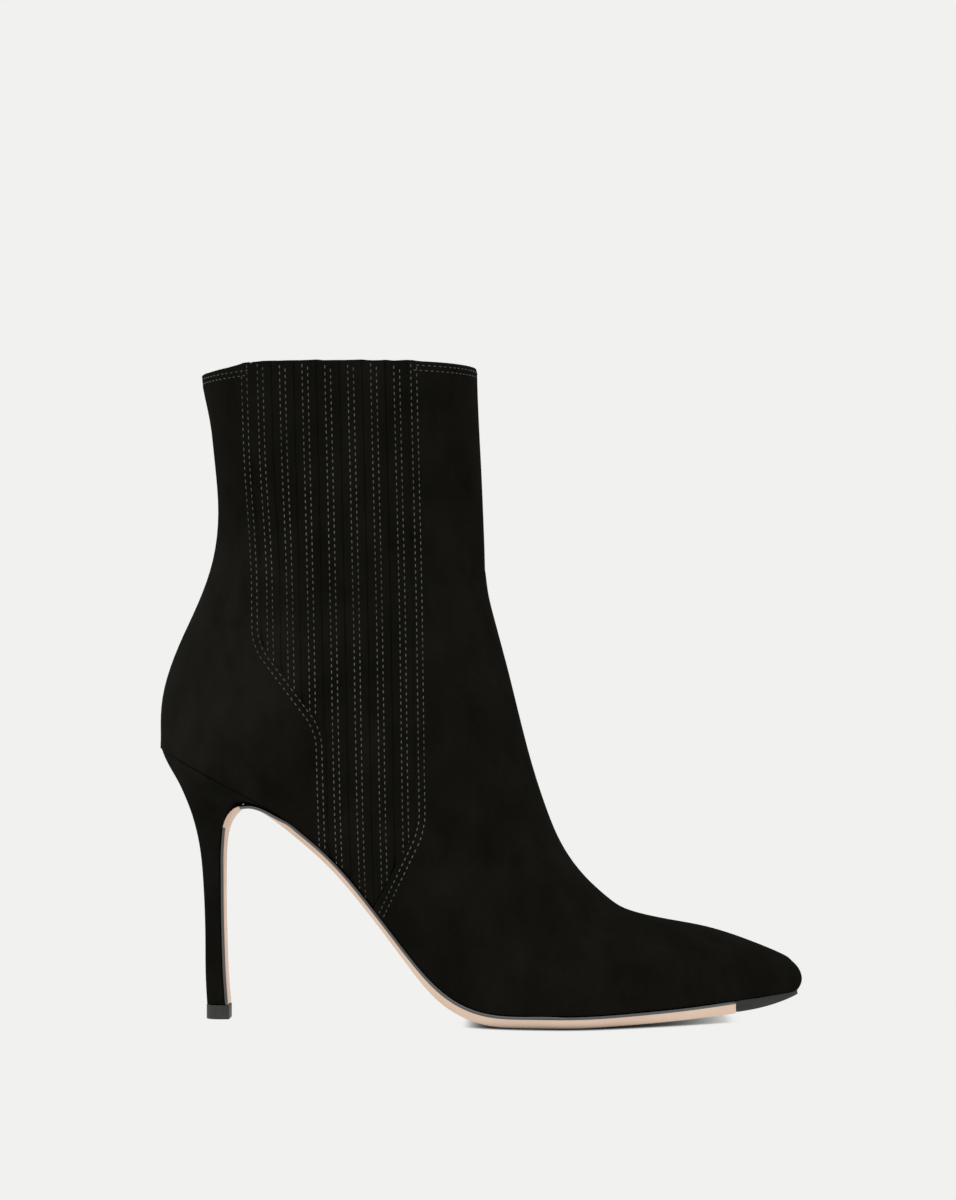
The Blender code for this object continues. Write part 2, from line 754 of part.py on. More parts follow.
def breast_place(share):
    """The breast line at a share of its rows."""
    rows = BREAST_LINE
    at = share * (len(rows["along"]) - 1)
    index = range(len(rows["along"]))
    along = eased(index, rows["along"], at)
    down = eased(index, rows["down"], at)
    return np.array([x_at(along), heel_height * (1 - down)])


def breast_facing(share):
    step = 0.01
    way = breast_place(min(share + step, 1)) - breast_place(max(share - step, 0))
    way = way / np.linalg.norm(way)
    return np.array([-way[1], way[0]])


def breast_half(share):
    rows = BREAST_LINE
    halves = [w * h for w, h in zip(rows["width"], rows["half"])]
    return eased(range(len(halves)), halves, share * (len(halves) - 1))


# The sole is as thick as the tread's at the ball and thins to the waist: dome is a share of the tread's.
SHANK = table(
    "along dome",
    [
        (0.00, 0.50),
        (0.24, 0.50),
        (0.31, 0.44),
        (0.38, 0.43),
        (0.44, 0.74),
        (0.50, 0.96),
        (0.54, 1.00),
        (1.00, 1.00),
    ],
)


def shank_dome(along):
    return sole_dome * eased(SHANK["along"], SHANK["dome"], along)


def tip_dome(along):
    """The rubber tip thins towards its point."""
    share = (along - toe_tip_share) / (nose_along - toe_tip_share)
    return sole_dome * toe_tip_dome * (1 - max(0.0, share) ** toe_tip_thinning)


def solid_from_stations(name, stations, finish):
    bm = bmesh.new()
    rows = [station.rows() for station in stations]
    grid_solid(bm, [top for top, _ in rows], [bottom for _, bottom in rows])
    return new_object(name, bm, finish)


def make_outsole(finish):
    """Leather sole from the rubber tip back to the heel, and on down the breast of the heel as a flap."""
    alongs = [toe_tip_share] + bottom_stations(heel_seat_share, toe_tip_share)
    stations = [sole_station(along, shank_dome(along)) for along in alongs]
    count = 2 * (len(BREAST_LINE["along"]) - 1)
    for i in range(count + 1):
        share = i / count
        centre = heel_offset + (sole_centre(heel_seat_share) - heel_offset) * max(0.0, 1 - share * 6)
        thick = max(0.0, 1 - share / flap_thinning)
        dome = flap_dome + (shank_dome(heel_seat_share) - flap_dome) * thick**2
        stations.append(
            SoleStation(breast_place(share), breast_facing(share), breast_half(share), centre, sole_edge, dome)
        )
    return solid_from_stations("outsole", stations, finish)


def make_toe_tip(finish):
    """The rubber tip set into the point of the sole."""
    start = toe_tip_share + joint_gap / shoe_length
    steps = 7
    stations = []
    for i in range(steps + 1):
        along = start + (nose_along - 0.0012 - start) * (1 - (1 - i / steps) ** 2)
        stations.append(sole_station(along, tip_dome(along)))
    return solid_from_stations("toe_tip", stations, finish)


def seat_alongs():
    """Where the heel's seat has points, from its back to its front."""
    return [0.0] + bottom_stations(0.0, heel_seat_front)[::-1] + [heel_seat_front]


def seat_half_ring():
    """The heel's seat follows the upper's own outline and bottom line."""
    made = []
    for along in seat_alongs():
        place = np.array([x_at(along), bottom_height(along)]) + bottom_normal(along) * joint_gap
        made.append((place[0], place[1], sole_half_width(along)))
    return made


def heel_half_ring(row):
    """Half a section of the heel as (x, z, half-width), from its back to its breast."""
    rows = HEEL_SECTIONS
    back = np.array([x_at(rows["back"][row]), heel_height * (1 - rows["down"][row])])
    share = rows["breast"][row]
    breast = breast_place(share) - breast_facing(share) * joint_gap
    half = rows["width"][row] * rows["half"][row]
    breast_width = min(breast_half(share), half)
    widest = rows["widest"][row]
    columns = len(seat_alongs()) - 1
    made = []
    for i in range(columns + 1):
        t = 1 - math.cos(math.pi / 2 * i / columns)
        x, z = back + (breast - back) * t
        if t < widest:
            reach = half * math.sqrt(1 - (1 - t / widest) ** 2)
        else:
            reach = half + (breast_width - half) * ((t - widest) / (1 - widest)) ** 2
        made.append((x, z, reach))
    return made


def ring_solid(name, rings, finish):
    """A solid through half rings of (x, z, half-width): each is mirrored, and flat across its front."""
    bm = bmesh.new()
    made = []
    for ring in rings:
        lateral = [bm.verts.new((x, heel_offset - y, z)) for x, z, y in ring]
        medial = [lateral[0]] + [bm.verts.new((x, heel_offset + y, z)) for x, z, y in ring[1:]]
        made.append((lateral, medial))
    for (upper_left, upper_right), (lower_left, lower_right) in zip(made, made[1:]):
        for j in range(len(upper_left) - 1):
            bm.faces.new((upper_left[j], upper_left[j + 1], lower_left[j + 1], lower_left[j]))
            bm.faces.new((upper_right[j], lower_right[j], lower_right[j + 1], upper_right[j + 1]))
        bm.faces.new((upper_left[-1], upper_right[-1], lower_right[-1], lower_left[-1]))
    for left, right in (made[0], made[-1]):
        bm.faces.new((left[0], left[1], right[1]))
        for j in range(1, len(left) - 1):
            bm.faces.new((left[j], left[j + 1], right[j + 1], right[j]))
    return new_object(name, bm, finish)


def make_heel(finish):
    rings = [seat_half_ring()] + [heel_half_ring(i) for i in range(len(HEEL_SECTIONS["back"]))]
    return ring_solid("heel", rings, finish)


def make_heel_tip(finish):
    """The rubber piece that the heel stands on, under the heel and its flap."""
    last = len(HEEL_SECTIONS["back"]) - 1
    ring = heel_half_ring(last)
    back = ring[0][0] - heel_tip_lip
    front = breast_place(1.0)[0] + sole_edge + flap_dome + heel_tip_lip
    half = HEEL_SECTIONS["width"][last] * HEEL_SECTIONS["half"][last] + heel_tip_lip
    stretch = (front - back) / (ring[-1][0] - ring[0][0])
    rings = []
    for z in (heel_tip_height, 0.0):
        made = []
        for x, _, reach in ring:
            wide = reach * half / max(r for _, _, r in ring)
            made.append((back + (x - ring[0][0]) * stretch, z, wide))
        rings.append(made)
    return ring_solid("heel_tip", rings, finish)


def make_insole(finish):
    """The sock on its board, inside the upper and on the sole and the heel's seat."""
    columns = 6
    alongs = [insole_front_share] + bottom_stations(insole_back_share, insole_front_share) + [insole_back_share]
    top, bottom = [], []
    for along in alongs:
        low = np.array([x_at(along), bottom_height(along)])
        high = low - bottom_normal(along) * insole_thickness
        half = insole_half(along, upper_wall + 2 * joint_gap)
        across = [sole_centre(along) + half * (2 * j / columns - 1) for j in range(columns + 1)]
        top.append([Vector((high[0], y, high[1])) for y in across])
        bottom.append([Vector((low[0], y, low[1])) for y in across])
    bm = bmesh.new()
    grid_solid(bm, top, bottom)
    return new_object("insole", bm, finish)


def insole_half(along, inset):
    """The sole's half-width drawn in by inset, square to the outline where that runs across the shoe."""
    step = 0.004
    wide = sole_half_width(along)
    slope = (sole_half_width(along + step) - sole_half_width(along - step)) / (2 * step * shoe_length)
    return max(0.0008, wide - inset * math.sqrt(1 + slope * slope))


def main():
    clear_scene()
    suede = material("black suede", suede_black, 0.9)
    leather = material("nude sole leather", sole_nude, 0.5)
    rubber = material("black rubber", rubber_black, 0.45)
    lining = material("nude lining leather", lining_nude, 0.55)
    upper = make_upper(suede)
    for side, side_name in ((LATERAL, "outer"), (MEDIAL, "inner")):
        cutter = make_panel_cutter(side_name + "_panel_cutter", side, suede)
        cut(upper, cutter)
        for number in range(strip_count):
            make_strip(f"strip_{side_name}_{number + 1}", number, side, suede)
    make_outsole(leather)
    make_toe_tip(rubber)
    make_heel(suede)
    make_heel_tip(rubber)
    make_insole(lining)


main()
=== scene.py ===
import math

import bmesh
import bpy
from mathutils import Matrix, Vector
from mathutils.bvhtree import BVHTree


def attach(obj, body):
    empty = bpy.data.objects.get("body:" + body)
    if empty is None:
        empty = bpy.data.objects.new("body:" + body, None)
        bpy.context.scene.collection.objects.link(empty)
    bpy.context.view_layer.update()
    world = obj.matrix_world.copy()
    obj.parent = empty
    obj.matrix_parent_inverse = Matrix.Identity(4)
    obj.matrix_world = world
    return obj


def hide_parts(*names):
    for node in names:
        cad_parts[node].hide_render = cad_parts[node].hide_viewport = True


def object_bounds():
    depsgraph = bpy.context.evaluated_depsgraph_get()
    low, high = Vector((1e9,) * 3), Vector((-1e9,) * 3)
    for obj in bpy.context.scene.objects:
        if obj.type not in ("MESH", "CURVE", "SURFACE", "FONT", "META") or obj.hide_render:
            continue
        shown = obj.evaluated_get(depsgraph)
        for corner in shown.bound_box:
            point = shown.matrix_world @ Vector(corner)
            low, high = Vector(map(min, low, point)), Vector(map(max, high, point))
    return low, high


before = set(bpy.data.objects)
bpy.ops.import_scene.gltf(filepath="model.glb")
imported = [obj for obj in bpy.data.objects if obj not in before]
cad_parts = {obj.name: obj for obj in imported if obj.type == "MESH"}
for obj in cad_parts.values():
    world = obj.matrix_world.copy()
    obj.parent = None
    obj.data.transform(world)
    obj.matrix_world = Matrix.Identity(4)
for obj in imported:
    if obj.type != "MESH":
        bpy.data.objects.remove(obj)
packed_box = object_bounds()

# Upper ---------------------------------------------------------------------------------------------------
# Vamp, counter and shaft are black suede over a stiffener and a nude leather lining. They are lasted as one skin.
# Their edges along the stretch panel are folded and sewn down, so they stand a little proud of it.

MM = 0.001
COLLAR_HEIGHT = packed_box[1].z
SLIT_PITCH = 8.1013 * MM
SLIT_LEAN = 0.020
BACK_SLIT = -81.84 * MM  # the panel's back edge, at the topline
ANKLE_STEP = 2.1 * MM  # the back edge bends forwards by this much between these heights
ANKLE_LOW, ANKLE_HIGH = 155.13 * MM, 205.97 * MM
ANKLE_LINES = 2.6  # and the bend fades out over this many strips


def ease(share):
    share = min(1.0, max(0.0, share))
    return share * share * (3 - 2 * share)


def slit_x(number, z):
    """Where a line of the panel stands at that height. Line 0 is its back edge and line 7 its front edge."""
    bend = ease((ANKLE_HIGH - z) / (ANKLE_HIGH - ANKLE_LOW)) * (1 - ease(number / ANKLE_LINES))
    return BACK_SLIT + SLIT_PITCH * number + SLIT_LEAN * (COLLAR_HEIGHT - z) + ANKLE_STEP * bend


def slit_point(number, z):
    return Vector((slit_x(number, z), z))


COUNTER_EDGE = [slit_point(0, COLLAR_HEIGHT - n * 8 * MM) for n in range(12)]
COUNTER_EDGE += [slit_point(0, 0.1360), slit_point(3, 0.1057), slit_point(3, 0.0560)]
VAMP_EDGE = [slit_point(7, COLLAR_HEIGHT), slit_point(7, 0.0705), slit_point(5, 0.0385)]


def distance_to(path, spot):
    """How far a spot of the side view, as (x, z), is from a path in it."""
    nearest = 1.0
    for a, b in zip(path, path[1:]):
        along = min(1.0, max(0.0, (spot - a).dot(b - a) / (b - a).length_squared))
        nearest = min(nearest, (a + (b - a) * along - spot).length)
    return nearest


def copy_of(node):
    """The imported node's skin, with its triangles sewn together and joined in pairs."""
    skin = bmesh.new()
    skin.from_mesh(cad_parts[node].data)
    bmesh.ops.remove_doubles(skin, verts=skin.verts, dist=1e-6)
    bmesh.ops.dissolve_degenerate(skin, edges=skin.edges, dist=3e-5)
    bmesh.ops.join_triangles(
        skin, faces=skin.faces, angle_face_threshold=math.radians(28), angle_shape_threshold=math.radians(50)
    )
    return skin


SHARP = 32  # degrees that two faces bend by, past which the edge between them is a real one


def sharp_edges(skin, bend=SHARP):
    return [e for e in skin.edges if e.is_manifold and e.calc_face_angle() > math.radians(bend)]


def patch_from(skin, start, towards):
    """The faces that a look from start in a direction lands on, as far as the next sharp edge."""
    skin.faces.ensure_lookup_table()
    hit = BVHTree.FromBMesh(skin).ray_cast(Vector(start), Vector(towards))
    patch, edge_of = {skin.faces[hit[2]]}, [skin.faces[hit[2]]]
    while edge_of:
        face = edge_of.pop()
        for edge in face.edges:
            if edge.is_manifold and edge.calc_face_angle() < math.radians(SHARP):
                for other in edge.link_faces:
                    if other not in patch:
                        patch.add(other)
                        edge_of.append(other)
    return patch


def new_piece(name, skin, finishes):
    """An object of that skin, linked into the scene."""
    mesh = bpy.data.meshes.new(name)
    skin.to_mesh(mesh)
    skin.free()
    for layer in ("custom_normal", "sharp_edge", "sharp_face"):
        if layer in mesh.attributes:
            mesh.attributes.remove(mesh.attributes[layer])
    for finish in finishes:
        mesh.materials.append(finish)
    piece = bpy.data.objects.new(name, mesh)
    bpy.context.scene.collection.objects.link(piece)
    return piece


def rounded(piece, levels, most=0.8 * MM):
    """Rounds a piece by subdivision, and keeps its own corners where they were."""
    corners = [v.co.copy() for v in piece.data.vertices]
    rounding = piece.modifiers.new("rounding", "SUBSURF")
    rounding.levels = rounding.render_levels = levels
    for _ in range(3):
        graph = bpy.context.evaluated_depsgraph_get()
        drawn = piece.evaluated_get(graph).data
        for v, corner in zip(piece.data.vertices, corners):
            moved = v.co + (corner - drawn.vertices[v.index].co) - corner
            v.co = corner + moved * min(1.0, most / max(moved.length, 1e-9))
        piece.data.update()
    graph = bpy.context.evaluated_depsgraph_get()
    mesh = bpy.data.meshes.new_from_object(piece.evaluated_get(graph))
    piece.modifiers.clear()
    piece.data = mesh
    return piece


class Strand:
    """One socket of a finish. Sums and products of strands add their own nodes."""

    def __init__(self, socket):
        self.socket = socket

    def node(self, kind, settings=(), sockets=(), out=0):
        """Another node of the same finish: its settings first, then the values or strands of its sockets."""
        made = self.socket.id_data.nodes.new(kind)
        for name, value in dict(settings).items():
            setattr(made, name, value)
        for name, value in dict(sockets).items():
            if isinstance(value, Strand):
                self.socket.id_data.links.new(value.socket, made.inputs[name])
            else:
                made.inputs[name].default_value = value
        return Strand(made.outputs[out])

    def maths(self, operation, *values):
        return self.node("ShaderNodeMath", {"operation": operation}, enumerate(values))

    def __add__(self, other):
        return self.maths("ADD", self, other)

    def __sub__(self, other):
        return self.maths("SUBTRACT", self, other)

    def __rsub__(self, other):
        return self.maths("SUBTRACT", other, self)

    def __mul__(self, other):
        return self.maths("MULTIPLY", self, other)

    __radd__ = __add__
    __rmul__ = __mul__

    def within(self, low, high):
        """0 below low and 1 above high, eased between them; the other way round where low is the higher."""
        return self.node(
            "ShaderNodeMapRange",
            {"interpolation_type": "SMOOTHSTEP"},
            {"Value": self, "From Min": min(low, high), "From Max": max(low, high)}
            | ({"To Min": 1.0, "To Max": 0.0} if low > high else {}),
        )

    def noise(self, size, detail=3.0, roughness=0.55, stretch=(1.0, 1.0, 1.0)):
        """A cloudy pattern with patches about that big, longer along an axis by its stretch."""
        at = self.node("ShaderNodeVectorMath", {"operation": "DIVIDE"}, {0: self, 1: [size * s for s in stretch]})
        pattern = {"Vector": at, "Scale": 1.0, "Detail": detail, "Roughness": roughness}
        return self.node("ShaderNodeTexNoise", {}, pattern)

    def between(self, dark, light):
        """A colour from dark, where this strand is 0, to light, where it is 1."""
        return self.node("ShaderNodeMix", {"data_type": "RGBA"}, {0: self, 6: (*dark, 1.0), 7: (*light, 1.0)}, out=2)

    def bump(self, depth):
        return self.node("ShaderNodeBump", {}, {"Height": self, "Distance": depth, "Strength": 1.0})


def new_finish(name, **fixed):
    """A material, its shader, and the place on the piece in metres."""
    finish = bpy.data.materials.new(name)
    finish.use_nodes = True
    shader = finish.node_tree.nodes["Principled BSDF"]
    for setting, value in fixed.items():
        shader.inputs[setting.replace("_", " ")].default_value = value
    place = Strand(finish.node_tree.nodes.new("ShaderNodeTexCoord").outputs["Object"])
    return finish, shader, place


def paint(shader, **strands):
    """Links strands to the shader's sockets of those names."""
    for name, strand in strands.items():
        shader.id_data.links.new(strand.socket, shader.inputs[name.replace("_", " ")])


LIT_COUNTER_SPOT = (-0.098, 0.0, 0.128)  # the middle of the counter, around which a pool of light is painted into the nap as a lighter patch
SEAM_FROM = -58 * MM  # the back seam shows behind this and above the heel's seat
SEAM_FOOT = 97.5 * MM


def suede(name):
    """Black suede: a matt nap that lies this way and that, with the back seam sunk in it and a pool of light painted
    around the counter.
    """
    finish, shader, place = new_finish(
        name,
        Specular_IOR_Level=0.0,
        Sheen_Weight=0.012,
        Sheen_Roughness=0.45,
        Sheen_Tint=(0.80, 0.78, 0.72, 1.0),
    )
    fibres = place.noise(0.35 * MM, 4.0, 0.7)
    strokes = place.noise(9 * MM, 4.0, 0.6, (1.0, 1.0, 1.8))
    clouds = place.noise(26 * MM, 2.0, 0.5)
    from_counter = place.node("ShaderNodeVectorMath", {"operation": "DISTANCE"}, {0: place, 1: LIT_COUNTER_SPOT}, out=1)
    # A lighter patch around the middle of the counter is painted light, standing in for light falling on the curved
    # counter.
    painted_counter_light = from_counter.within(60 * MM, 24 * MM) * (0.4 + strokes)
    x, y, z = (place.node("ShaderNodeSeparateXYZ", {}, {0: place}, out=n) for n in range(3))
    seam = y.maths("ABSOLUTE", y).within(0.55 * MM, 0.1 * MM)
    seam = x.within(SEAM_FROM, SEAM_FROM - 2 * MM) * seam * z.within(SEAM_FOOT, SEAM_FOOT + 1.5 * MM)
    nap_and_painted_light = (strokes * 0.5 + clouds * 0.5 + painted_counter_light * 0.40) * 0.68 + fibres * 0.32
    paint(
        shader,
        Base_Color=(nap_and_painted_light - 0.35 * seam).within(0.22, 0.95).between((0.0034, 0.0032, 0.0023), (0.0125, 0.0119, 0.0099)),
        Roughness=0.97 - 0.14 * fibres,
        Normal=(fibres - 3.0 * seam).bump(0.07 * MM),
    )
    return finish


ROW_GAP = 2.0 * MM  # between the two rows of a twin seam

suede_skin = suede("suede of the upper")

lining_leather, shader, place = new_finish("lining leather", Specular_IOR_Level=0.35)
pores = place.noise(0.5 * MM, 3.0)
grain = place.noise(7 * MM, 3.0)
paint(
    shader,
    Base_Color=(grain * 0.7 + pores * 0.3).within(0.3, 0.75).between((0.52, 0.375, 0.28), (0.66, 0.49, 0.375)),
    Roughness=0.62 - 0.16 * grain,
    Normal=pores.bump(0.05 * MM),
)

elastic, shader, place = new_finish("black elastic", Specular_IOR_Level=0.1, Roughness=0.95)
ribs = place.node(
    "ShaderNodeTexWave", {"bands_direction": "Z"}, {"Vector": place, "Scale": 900.0, "Distortion": 0.4}
)
paint(shader, Base_Color=ribs.between((0.003, 0.003, 0.003), (0.009, 0.009, 0.008)), Normal=ribs.bump(0.15 * MM))

skin = copy_of("upper")
vamp = patch_from(skin, (0.03, -0.2, 0.030), (0, 1, 0))
counter = patch_from(skin, (-0.3, 0.0, 0.13), (1, 0, 0))
outside = vamp | counter
inside = patch_from(skin, (-0.052, 0.0, 0.19), (0, 1, 0))
for face in skin.faces:
    centre = face.calc_center_median()
    face.material_index = 0
    if face in inside:
        face.material_index = 1
    elif face not in outside and abs(face.normal.y) > 0.5 and slit_x(0, centre.z) < centre.x < slit_x(7, centre.z):
        face.material_index = 2
crease = skin.edges.layers.float.new("crease_edge")
for edge in sharp_edges(skin):
    at_topline = min(v.co.z for v in edge.verts) > COLLAR_HEIGHT - 0.5 * MM
    edge[crease] = 0.55 if at_topline else 0.9
upper = rounded(new_piece("upper_suede", skin, [suede_skin, lining_leather, elastic]), 2)

LIP = 0.35 * MM  # how far a folded edge stands proud
LIP_FADE = 5.0 * MM
NAP = 0.30 * MM  # the nap stands up off the solid's skin
COUNTER_FULLNESS = 0.75 * MM
BACK_DIP = 2.6 * MM  # the topline dips at the back seam
BACK_FLARE = 0.9 * MM  # and stands a little off the leg there


def dressed(spot, normal, lip=True):
    """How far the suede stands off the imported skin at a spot."""
    lift = NAP * ease((spot.z - 9 * MM) / (6 * MM)) * ease((COLLAR_HEIGHT - spot.z) / (2 * MM) + 0.3)
    from_heel = (spot - Vector((-0.116, 0.0, 0.116))).length
    lift += COUNTER_FULLNESS * ease(1 - from_heel / (34 * MM)) * max(0.0, -normal.x)
    if lip and abs(normal.y) > 0.3:
        flat = Vector((spot.x, spot.z))
        lift += LIP * ease(1 - min(distance_to(COUNTER_EDGE, flat), distance_to(VAMP_EDGE, flat)) / LIP_FADE)
    return normal * lift


def sag(spot):
    """How far the topline's dip and flare at the back move a spot. It fades out forwards and down the shaft."""
    near_back = min(1.0, max(0.0, (-0.0775 - spot.x) / (19 * MM)))
    near_top = ease((spot.z - COLLAR_HEIGHT) / (24 * MM) + 1)
    return Vector((-BACK_FLARE, 0, -BACK_DIP)) * near_back * near_top


suede_corners = set()
for polygon in upper.data.polygons:
    polygon.use_smooth = True
    if polygon.material_index == 0:
        suede_corners.update(polygon.vertices)
normals = [v.normal.copy() for v in upper.data.vertices]
for vertex, normal in zip(upper.data.vertices, normals):
    spot = vertex.co.copy()
    if vertex.index in suede_corners:
        vertex.co += dressed(spot, normal)
    vertex.co += sag(spot)
upper.data.update()
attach(upper, "root")
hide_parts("upper")

# Strips of the stretch panels ------------------------------------------------------------------------------
# Seven strips of the same suede lie side by side over black elastic on each side of the shaft. Each is sewn to it
# by a twin row down its middle, and its long edges are free, so the slits between them open as the panel stretches.

STRIP_EDGE = 0.22 * MM
STRIP_CROWN = 0.10 * MM


def bevelled(skin, offset):
    """Breaks a skin's square edges."""
    bmesh.ops.bevel(
        skin,
        geom=sharp_edges(skin, 50),
        offset=offset,
        offset_type="OFFSET",
        segments=2,
        profile=0.5,
        affect="EDGES",
        clamp_overlap=True,
        material=-1,
    )


suede_strips = suede("suede of the strips")
strips = []
for side in ("outer", "inner"):
    for number in range(1, 8):
        node = f"strip_{side}_{number}"
        skin = copy_of(node)
        bevelled(skin, STRIP_EDGE)
        strip = rounded(new_piece(f"{node}_suede", skin, [suede_strips]), 1, 0.3 * MM)
        normals = [v.normal.copy() for v in strip.data.vertices]
        for vertex, normal in zip(strip.data.vertices, normals):
            spot, outward = vertex.co.copy(), normal.y * (-1 if side == "outer" else 1)
            if outward > 0.2:
                back, front = slit_x(number - 1, spot.z), slit_x(number, spot.z)
                across = min(1.0, max(0.0, (spot.x - back) / (front - back)))
                vertex.co += dressed(spot, normal, lip=False) + normal * STRIP_CROWN * (1 - (2 * across - 1) ** 2)
            vertex.co += sag(spot)
        strip.data.shade_smooth()
        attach(strip, "root")
        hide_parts(node)
        strips.append(strip)

# Stitching --------------------------------------------------------------------------------------------------
# Dark thread in twin rows, lightened to grey as a painted sheen: down the middle of each strip, along the folded
# edges of counter and vamp, and under the topline. A lockstitch shows as short threads that dip into the suede at both
# ends.

STITCH_PITCH = 2.3 * MM
STITCH_LENGTH = 1.30 * MM
STITCH_WIDTH = 0.44 * MM
STITCH_HEIGHT = 0.42 * MM
EDGE_TO_ROW = 0.9 * MM
COLLAR_REACH = 56 * MM  # from the middle of the collar to its back
CORNER_CUT = 3.5 * MM  # how far before a corner a row starts to turn
LOOK_STEP = 0.25 * MM  # between the spots where a row's ground is looked up

thread_with_painted_sheen, shader, place = new_finish("dark thread with painted sheen", Specular_IOR_Level=0.3)
twist = place.noise(0.35 * MM, 2.0)
# The thread is a little lighter or darker in large random patches.
thread_patches = place.noise(32 * MM, 2.0).within(0.3, 0.7)
# The thread's colour is lighter than the dark thread itself: grey that stands in for its sheen catching the light.
paint(
    shader,
    Base_Color=(twist * 0.6 + thread_patches * 0.4).within(0.2, 0.8).between((0.038, 0.037, 0.033), (0.110, 0.106, 0.097)),
    Roughness=0.75 - 0.15 * twist,
)

stitch = bmesh.new()
bmesh.ops.create_uvsphere(stitch, u_segments=6, v_segments=4, radius=0.5)
bmesh.ops.rotate(stitch, verts=stitch.verts, cent=(0, 0, 0), matrix=Matrix.Rotation(math.radians(90), 3, "Y"))
bmesh.ops.scale(stitch, verts=stitch.verts, vec=(STITCH_LENGTH, STITCH_WIDTH, STITCH_HEIGHT))
stitch_mesh = bpy.data.meshes.new("stitch")
stitch.to_mesh(stitch_mesh)
stitch.free()
stitch_mesh.shade_smooth()


def offset_path(path, shift):
    """A path beside another one in the side view, shift to its right, with its corners cut off twice over."""
    moved = []
    for n, spot in enumerate(path):
        before = (spot - path[n - 1]).normalized() if n else None
        after = (path[n + 1] - spot).normalized() if n + 1 < len(path) else None
        before, after = before or after, after or before
        right = (Vector((before.y, -before.x)) + Vector((after.y, -after.x))) / 2
        moved.append(spot + right / right.length_squared * shift)
    corner = CORNER_CUT
    for _ in range(2):
        cut = [moved[0]]
        for a, spot, b in zip(moved, moved[1:], moved[2:]):
            reach = min(corner, (spot - a).length / 3, (b - spot).length / 3)
            cut += [spot + (a - spot).normalized() * reach, spot + (b - spot).normalized() * reach]
        moved, corner = cut + [moved[-1]], corner / 2.5
    return moved


def from_side(path, side):
    """The looks along a path of the side view, each as where it starts and its direction."""
    looks = []
    for a, b in zip(path, path[1:]):
        count = max(1, round((b - a).length / LOOK_STEP))
        for n in range(count):
            spot = a + (b - a) * (n / count)
            looks.append((Vector((spot.x, side * 0.2, spot.y)), Vector((0, -side, 0))))
    return looks


def sew(rows, ground, looks, start):
    """Adds a row of stitches where the looks land on the ground."""
    walked, last, held = STITCH_PITCH - start, None, []
    for origin, towards in looks:
        at, up, _, _ = ground.ray_cast(origin, towards)
        if at is None or up.dot(towards) > -0.15 or (at - origin).length > 0.2:
            last = None
            continue
        if last is not None:
            walked += (at - last).length
            held.append((at, up, walked))
        last = at
    for n, (at, up, walk) in enumerate(held[:-1]):
        if int(walk / STITCH_PITCH) == int(held[n + 1][2] / STITCH_PITCH):
            continue
        along = held[min(n + 2, len(held) - 1)][0] - held[max(n - 2, 0)][0]
        if not 1e-6 < along.length < 2.5 * MM:
            continue
        along = (along - up * along.dot(up)).normalized()
        frame_of = Matrix((along, up.cross(along), up)).transposed().to_4x4()
        one = stitch_mesh.copy()
        one.transform(Matrix.Translation(at + up * 0.06 * MM) @ frame_of)
        rows.from_mesh(one)
        bpy.data.meshes.remove(one)


upper_ground = BVHTree.FromPolygons(
    [v.co for v in upper.data.vertices], [tuple(p.vertices) for p in upper.data.polygons]
)
for side, word in ((-1, "outer"), (1, "inner")):
    rows = bmesh.new()
    for number, strip in enumerate(strips[:7] if side < 0 else strips[7:]):
        ground = BVHTree.FromPolygons(
            [v.co for v in strip.data.vertices], [tuple(p.vertices) for p in strip.data.polygons]
        )
        heights = [COLLAR_HEIGHT - 1.2 * MM - n * 8 * MM for n in range(26)]
        middle = [(slit_point(number, z) + slit_point(number + 1, z)) / 2 for z in heights]
        for row, beside in ((0, -ROW_GAP / 2), (1, ROW_GAP / 2)):
            path = [spot + Vector((beside, 0)) for spot in middle]
            sew(rows, ground, from_side(path, side), (0.5 + row * 1.15 + number * 0.7 % 1.1) * MM)
    for row, beside in ((0, 0.0), (1, ROW_GAP)):
        start = (1.8 + row * 1.15) * MM
        sew(rows, upper_ground, from_side(offset_path(COUNTER_EDGE, EDGE_TO_ROW + beside), side), start)
        sew(rows, upper_ground, from_side(offset_path(VAMP_EDGE, -EDGE_TO_ROW - beside), side), start)
        collar = Vector((-0.042, 0, COLLAR_HEIGHT - 1.5 * MM - row * 1.8 * MM))
        for first, last_turn in ((4, 58), (131, 177)):
            looks = []
            for n in range(last_turn * 3 - first * 3):
                turn = math.radians(first + n / 3)
                out = Vector((math.cos(turn), side * math.sin(turn), 0))
                dip = sag(collar + out * COLLAR_REACH).z
                looks.append((collar + out * 0.19 + Vector((0, 0, dip)), -out))
            sew(rows, upper_ground, looks, start)
    stitching = new_piece(f"stitching_{word}", rows, [thread_with_painted_sheen])
    stitching.data.shade_smooth()
    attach(stitching, "root")
bpy.data.meshes.remove(stitch_mesh)

# Outsole ---------------------------------------------------------------------------------------------------
# Nude sole leather, cemented on. It runs from the rubber toe tip to the heel and down the heel's breast as a
# flap. Its trimmed edge is painted a glossy black. The side that lies against upper and heel is cemented, and is
# coloured a near-black matt that stands in for the shade where the parts meet.

sole_leather, shader, place = new_finish("nude sole leather", Specular_IOR_Level=0.4)
grain = place.noise(0.6 * MM, 4.0, 0.6)
cloud = place.noise(14 * MM, 3.0, 0.5, (2.0, 1.0, 1.0))
paint(
    shader,
    Base_Color=(cloud * 0.75 + grain * 0.25).within(0.25, 0.8).between((0.70, 0.50, 0.375), (0.82, 0.62, 0.49)),
    Roughness=0.5 - 0.15 * cloud,
    Normal=grain.bump(0.03 * MM),
)

